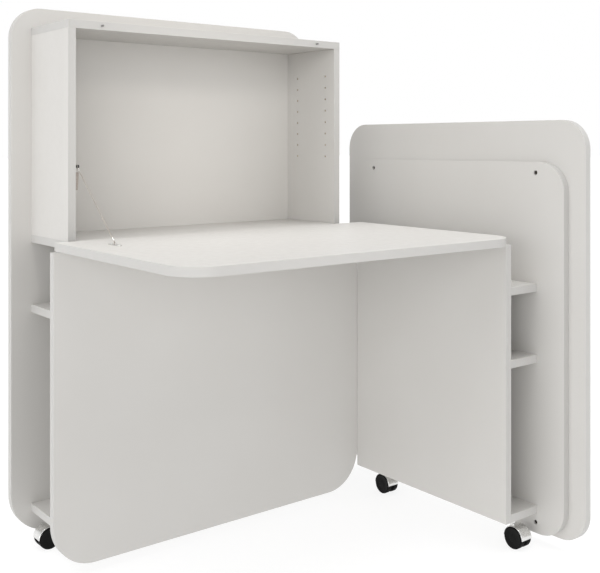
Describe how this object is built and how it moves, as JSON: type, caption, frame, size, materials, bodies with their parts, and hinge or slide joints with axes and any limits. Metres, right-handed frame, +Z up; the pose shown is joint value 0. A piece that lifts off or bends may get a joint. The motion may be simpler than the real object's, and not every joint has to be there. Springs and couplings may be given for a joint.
{
  "type": "fold-out desk",
  "caption": "White fold-out desk on castors: a tall shelf box with a drop-down worktop on a wire stay, and a shelved side wing that swings at one corner.",
  "frame": {"origin": "on the floor, under the middle of the overall box with the worktop down and the wing square to the hutch", "axes": "+Z up, +Y out of the hutch's back panel, +X towards the wing"},
  "size_m": [1.047, 0.911, 1.301],
  "materials": {
    "melamine_board": "white melamine-faced chipboard, matt",
    "hinge_steel": "zinc-plated, satin",
    "screw_steel": "darkened, satin",
    "stay_steel": "nickel-plated",
    "stay_dark_steel": "black, satin",
    "stay_wire_steel": "bright wire",
    "catch_plastic": "grey, matt",
    "dowel_beech": "plain beech",
    "castor_hood": "light grey, glossy",
    "castor_wheel": "black nylon, satin",
    "castor_steel": "zinc-plated"
  },
  "bodies": {
    "hutch": {"back_panel": "melamine_board", "front_panel": "melamine_board", "box_left_side": "melamine_board", "box_right_side": "melamine_board", "box_top": "melamine_board", "box_floor": "melamine_board", "base_board": "melamine_board", "centre_divider": "melamine_board", "lower_shelf_left": "melamine_board", "lower_shelf_right": "melamine_board", "flap_hinge_fixed_leaf": "hinge_steel", "flap_hinge_pin": "hinge_steel", "wing_hinge_fixed_leaf": "hinge_steel", "wing_hinge_pin": "hinge_steel", "door_catches": "catch_plastic", "stay_side_bracket": "stay_dark_steel", "stay_side_screw": "stay_dark_steel", "stay_wire": "stay_wire_steel", "hutch_dowels": "dowel_beech", "castor_mounts_hutch": "castor_steel"},
    "worktop_flap": {"flap": "melamine_board", "flap_hinge_moving_leaf": "hinge_steel", "stay_flap_bracket": "stay_steel", "stay_flap_screws": "screw_steel"},
    "side_wing": {"wing_front_panel": "melamine_board", "wing_base": "melamine_board", "wing_lower_shelf": "melamine_board", "wing_upper_shelf": "melamine_board", "wing_inner_panel": "melamine_board", "wing_outer_panel": "melamine_board", "wing_hinge_moving_leaf": "hinge_steel", "wing_panel_screws": "screw_steel", "wing_dowels": "dowel_beech", "castor_mounts_wing": "castor_steel"},
    "castor_hutch_left_swivel": {"castor_hutch_left_hood": "castor_hood", "castor_hutch_left_axle": "castor_steel"},
    "castor_hutch_left_wheel_pair": {"castor_hutch_left_wheels": "castor_wheel"},
    "castor_hutch_right_swivel": {"castor_hutch_right_hood": "castor_hood", "castor_hutch_right_axle": "castor_steel"},
    "castor_hutch_right_wheel_pair": {"castor_hutch_right_wheels": "castor_wheel"},
    "castor_wing_near_swivel": {"castor_wing_near_hood": "castor_hood", "castor_wing_near_axle": "castor_steel"},
    "castor_wing_near_wheel_pair": {"castor_wing_near_wheels": "castor_wheel"},
    "castor_wing_far_swivel": {"castor_wing_far_hood": "castor_hood", "castor_wing_far_axle": "castor_steel"},
    "castor_wing_far_wheel_pair": {"castor_wing_far_wheels": "castor_wheel"}
  },
  "joints": [
    {"name": "flap_hinge", "type": "hinge", "parent": "hutch", "child": "worktop_flap", "pos_m": [0, 0.1925, 0.731], "axis": [-1, 0, 0], "range_deg": [0, 90], "deforming": ["stay_wire"]},
    {"name": "wing_swing", "type": "hinge", "parent": "hutch", "child": "side_wing", "pos_m": [0.373, 0.197, 0.42], "axis": [0, 0, 1], "range_deg": [-10, 30]},
    {"name": "castor_hutch_left_swivel_turn", "type": "hinge", "parent": "hutch", "child": "castor_hutch_left_swivel", "pos_m": [-0.4395, 0.3875, 0.066], "axis": [0, 0, 1], "continuous": true},
    {"name": "castor_hutch_left_wheel_spin", "type": "hinge", "parent": "castor_hutch_left_swivel", "child": "castor_hutch_left_wheel_pair", "pos_m": [-0.4535, 0.3875, 0.026], "axis": [0, 1, 0], "continuous": true},
    {"name": "castor_hutch_right_swivel_turn", "type": "hinge", "parent": "hutch", "child": "castor_hutch_right_swivel", "pos_m": [0.2965, 0.3875, 0.066], "axis": [0, 0, 1], "continuous": true},
    {"name": "castor_hutch_right_wheel_spin", "type": "hinge", "parent": "castor_hutch_right_swivel", "child": "castor_hutch_right_wheel_pair", "pos_m": [0.2825, 0.3875, 0.026], "axis": [0, 1, 0], "continuous": true},
    {"name": "castor_wing_near_swivel_turn", "type": "hinge", "parent": "side_wing", "child": "castor_wing_near_swivel", "pos_m": [0.4375, -0.297, 0.066], "axis": [0, 0, 1], "continuous": true},
    {"name": "castor_wing_near_wheel_spin", "type": "hinge", "parent": "castor_wing_near_swivel", "child": "castor_wing_near_wheel_pair", "pos_m": [0.4375, -0.311, 0.026], "axis": [1, 0, 0], "continuous": true},
    {"name": "castor_wing_far_swivel_turn", "type": "hinge", "parent": "side_wing", "child": "castor_wing_far_swivel", "pos_m": [0.4375, 0.1605, 0.066], "axis": [0, 0, 1], "continuous": true},
    {"name": "castor_wing_far_wheel_spin", "type": "hinge", "parent": "castor_wing_far_swivel", "child": "castor_wing_far_wheel_pair", "pos_m": [0.4375, 0.1465, 0.026], "axis": [1, 0, 0], "continuous": true}
  ]
}
